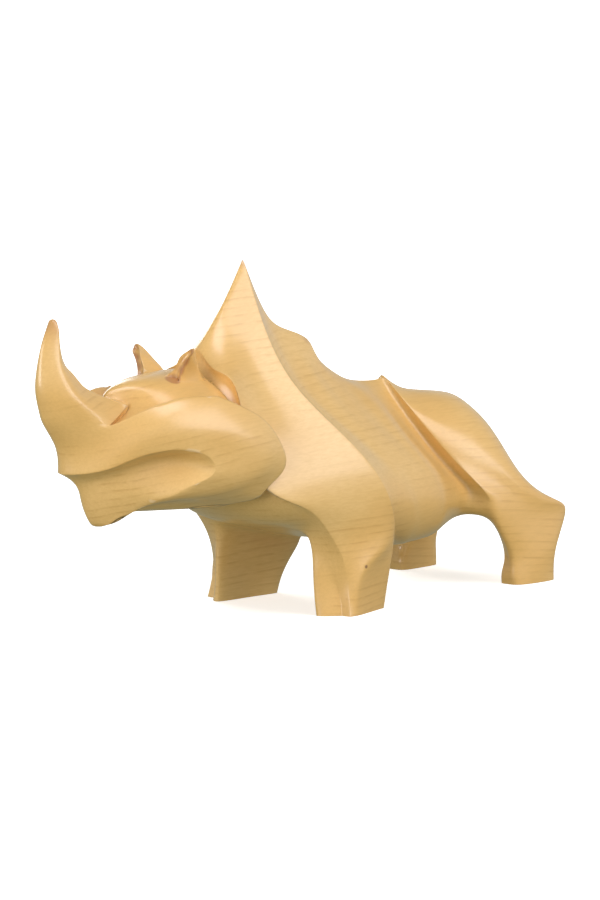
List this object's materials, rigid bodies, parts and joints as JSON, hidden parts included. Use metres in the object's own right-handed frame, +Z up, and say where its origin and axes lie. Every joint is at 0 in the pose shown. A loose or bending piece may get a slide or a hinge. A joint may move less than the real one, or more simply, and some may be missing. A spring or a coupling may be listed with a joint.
{
  "type": "animal figurine",
  "caption": "Stylised rhinoceros figurine carved from pale wood, with a curved horn, a cape-like shoulder rising to a peak and a sharp hip ridge, standing on four short feet.",
  "frame": {"origin": "bottom centre of the figurine's bounding box, on the surface that its soles stand on", "axes": "+X towards the rump, so the head faces -X; +Y towards the figurine's right side; +Z up"},
  "size_m": [0.2, 0.0618, 0.102],
  "materials": {
    "pale_wood": "satin"
  },
  "bodies": {
    "root": {"rhinoceros": "pale_wood"}
  },
  "joints": []
}
